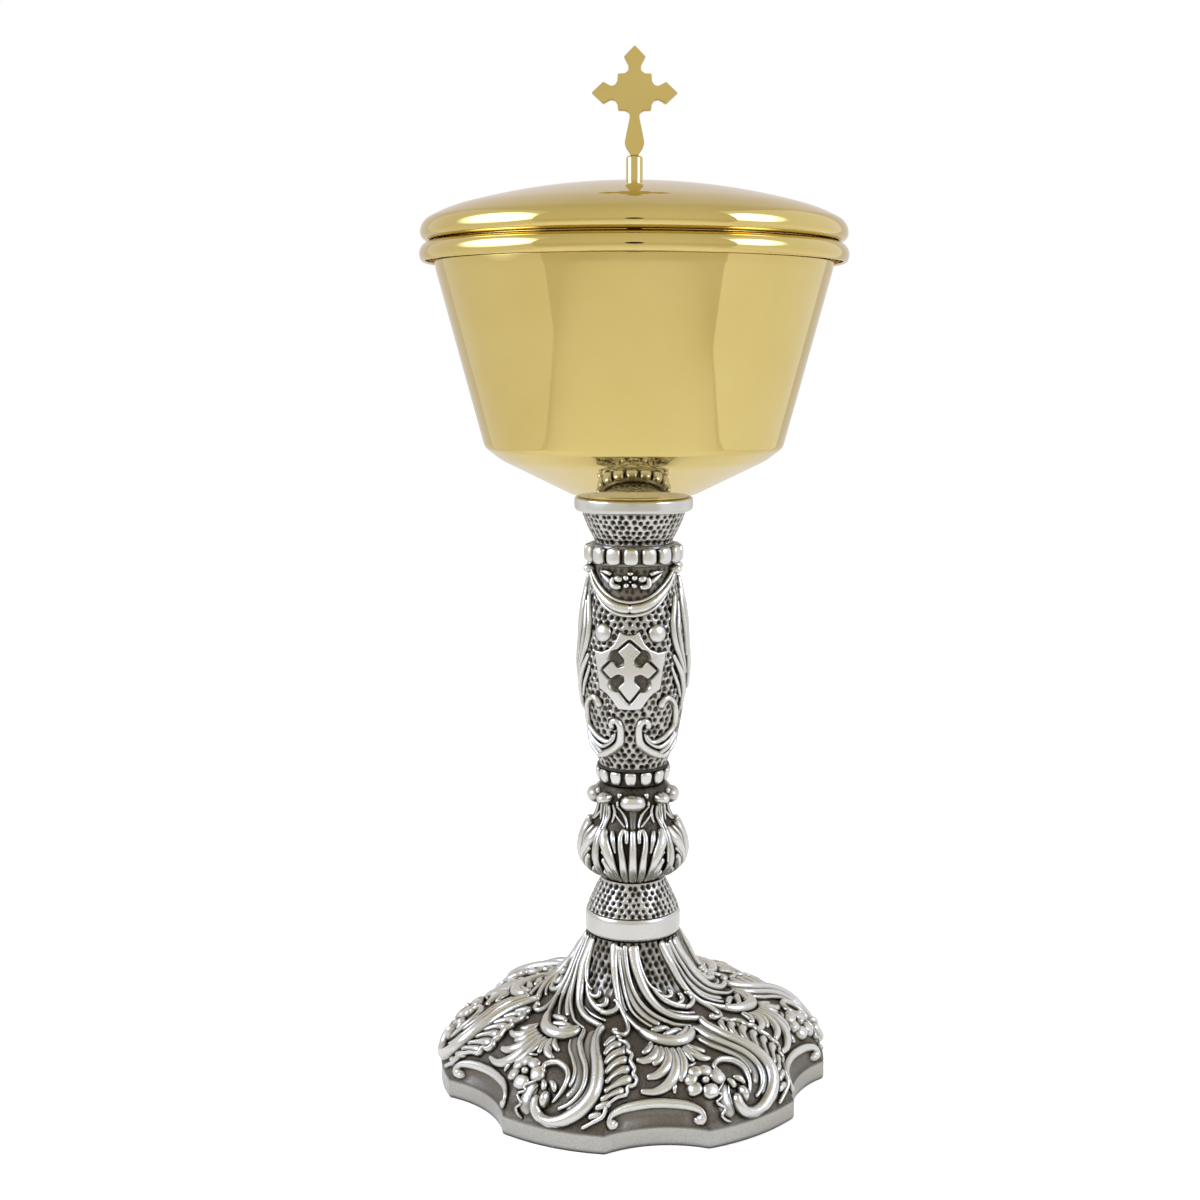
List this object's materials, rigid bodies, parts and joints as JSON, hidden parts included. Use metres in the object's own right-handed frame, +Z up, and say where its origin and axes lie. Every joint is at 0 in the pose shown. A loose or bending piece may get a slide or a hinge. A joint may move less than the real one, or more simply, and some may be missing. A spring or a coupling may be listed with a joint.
{
  "type": "ciborium vessel",
  "caption": "Covered cup on a cast silvered stem and lobed foot, with a gilt lift-off lid that carries a small cross; holds hosts for church services.",
  "frame": {"origin": "middle of the foot's underside, on the surface it stands on", "axes": "+Z up along the stem; -Y towards the front, which is the flat face of the cross; +X to the right"},
  "size_m": [0.109, 0.109, 0.2696],
  "materials": {
    "gilt": "polished gilt brass",
    "antique_silver": "silver-plated cast brass with dark patina in its hollows",
    "plain_silver": "satin silver plate on brass",
    "raw_brass": "machined brass",
    "fastener_steel": "zinc-plated steel"
  },
  "bodies": {
    "vessel": {"foot": "antique_silver", "base_collar": "plain_silver", "stem_cone": "antique_silver", "stem_knop": "antique_silver", "lower_gadroon_ring": "plain_silver", "stem_shaft": "antique_silver", "upper_gadroon_ring": "plain_silver", "stem_flare": "antique_silver", "top_collar": "plain_silver", "bowl_seat": "gilt", "bowl_boss": "raw_brass", "bowl": "gilt", "tie_rod": "fastener_steel", "tie_washer": "fastener_steel", "lock_washer": "fastener_steel", "tie_nut": "fastener_steel"},
    "lid": {"lid_dome": "gilt", "lid_spigot": "gilt", "finial_post": "gilt", "finial_cross": "gilt", "finial_washer": "raw_brass", "finial_nut": "raw_brass"}
  },
  "joints": [
    {"name": "lid_lift", "type": "slide", "parent": "vessel", "child": "lid", "axis": [0, 0, 1], "range_m": [0, 0.08]}
  ]
}
